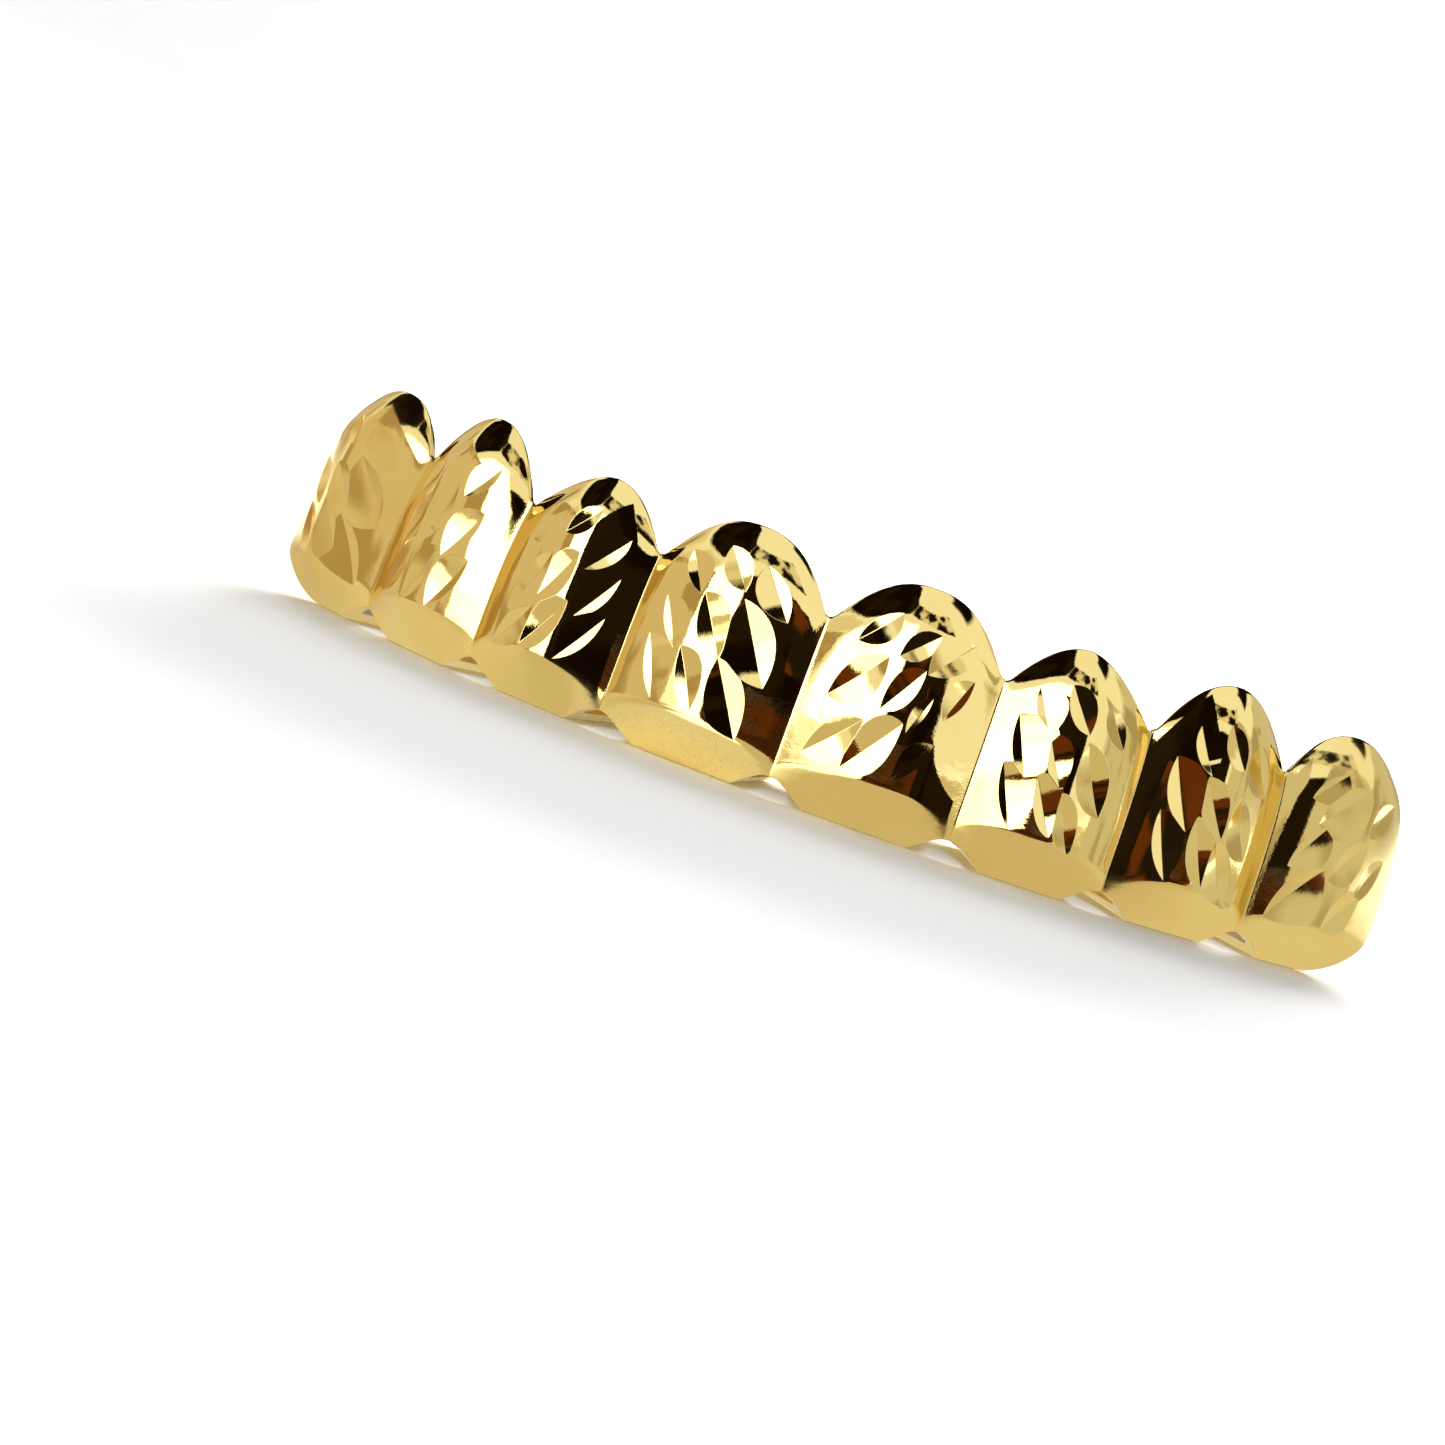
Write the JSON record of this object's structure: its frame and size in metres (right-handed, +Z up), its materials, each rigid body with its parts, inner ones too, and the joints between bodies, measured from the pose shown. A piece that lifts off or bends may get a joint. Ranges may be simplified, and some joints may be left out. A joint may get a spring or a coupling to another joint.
{
  "type": "grillz tooth cover",
  "caption": "Gold-plated upper grillz: a thin metal trough that slips over the front teeth, with a convex, diamond-cut face for each tooth and a low wall behind.",
  "frame": {"origin": "on the floor under the middle of the set's bounding box", "axes": "+X to the wearer's left along the row, +Y towards the tongue, +Z up towards the gum"},
  "size_m": [0.0582, 0.019, 0.0123],
  "materials": {
    "plated_brass": "gold plated, polished faces with diamond-cut facets, satin inside"
  },
  "bodies": {
    "root": {"tooth_cover": "plated_brass"}
  },
  "joints": []
}
